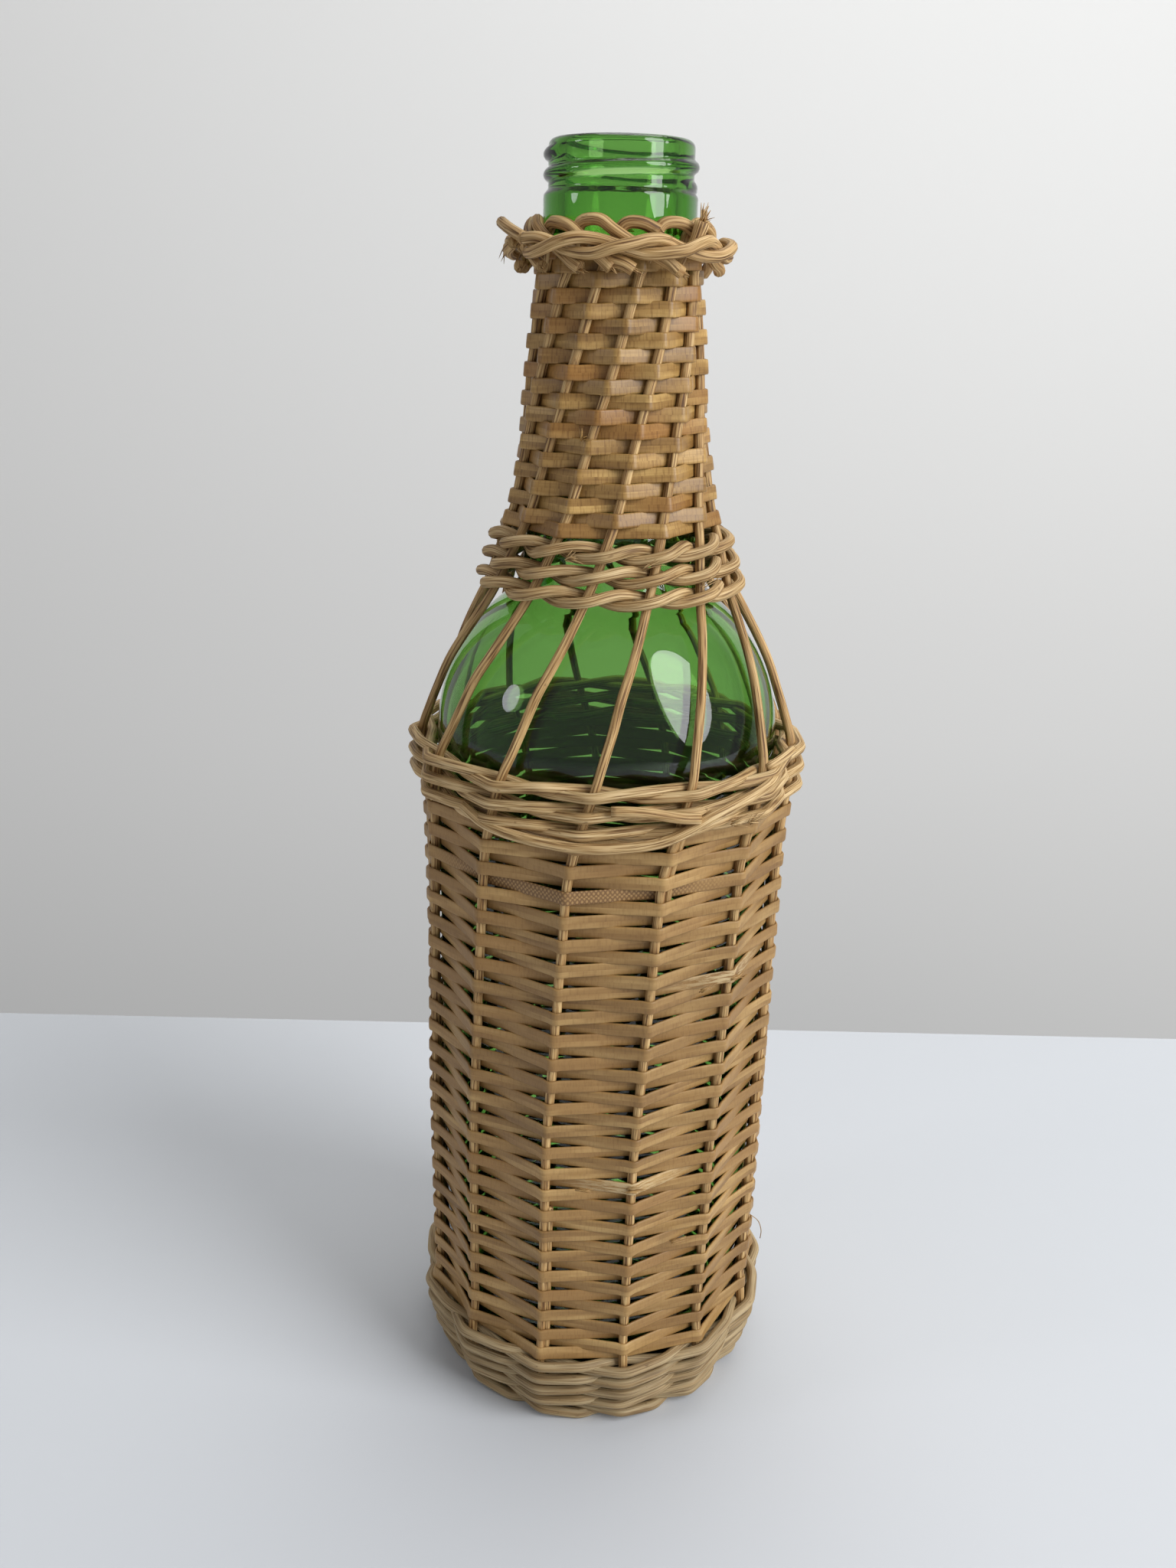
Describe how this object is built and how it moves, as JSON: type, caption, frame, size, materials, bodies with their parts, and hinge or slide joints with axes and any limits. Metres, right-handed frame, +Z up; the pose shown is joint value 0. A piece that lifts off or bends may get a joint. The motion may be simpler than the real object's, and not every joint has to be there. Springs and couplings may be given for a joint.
{
  "type": "wicker-covered glass bottle",
  "caption": "Tall green glass bottle with a screw-thread mouth, in a full-height woven cane jacket with an open shoulder of bare stakes and a plaited border at the neck.",
  "frame": {"origin": "centre of the base, on the plane that the basket stands on", "axes": "+Z up the bottle's axis through the mouth; the pictured side faces -Y"},
  "size_m": [0.1003, 0.1004, 0.3203],
  "materials": {
    "green_glass": "clear bottle green, moulded",
    "stake_cane": "bare round reed, fine lengthwise grain",
    "flat_cane": "split cane, satin outer skin",
    "round_cane": "bare round reed, fine lengthwise grain",
    "border_cane": "bare round reed, fine lengthwise grain"
  },
  "bodies": {
    "root": {"base_rings": "round_cane", "body_weaver_1": "flat_cane", "body_weaver_2": "flat_cane", "body_weaver_3": "flat_cane", "body_weaver_4": "flat_cane", "border_plait_1": "border_cane", "border_plait_2": "border_cane", "collar_row_1": "round_cane", "collar_row_2": "round_cane", "collar_row_3": "round_cane", "foot_row_1": "round_cane", "foot_row_2": "round_cane", "foot_row_3": "round_cane", "foot_row_4": "round_cane", "foot_row_5": "round_cane", "glass_bottle": "green_glass", "neck_weaver_1": "flat_cane", "neck_weaver_2": "flat_cane", "shoulder_row_1": "round_cane", "shoulder_row_2": "round_cane", "shoulder_row_3": "round_cane", "stake_01": "stake_cane", "stake_02": "stake_cane", "stake_03": "stake_cane", "stake_04": "stake_cane", "stake_05": "stake_cane", "stake_06": "stake_cane", "stake_07": "stake_cane", "stake_08": "stake_cane", "stake_09": "stake_cane", "stake_10": "stake_cane", "stake_11": "stake_cane", "stake_12": "stake_cane", "stake_13": "stake_cane"}
  },
  "joints": []
}
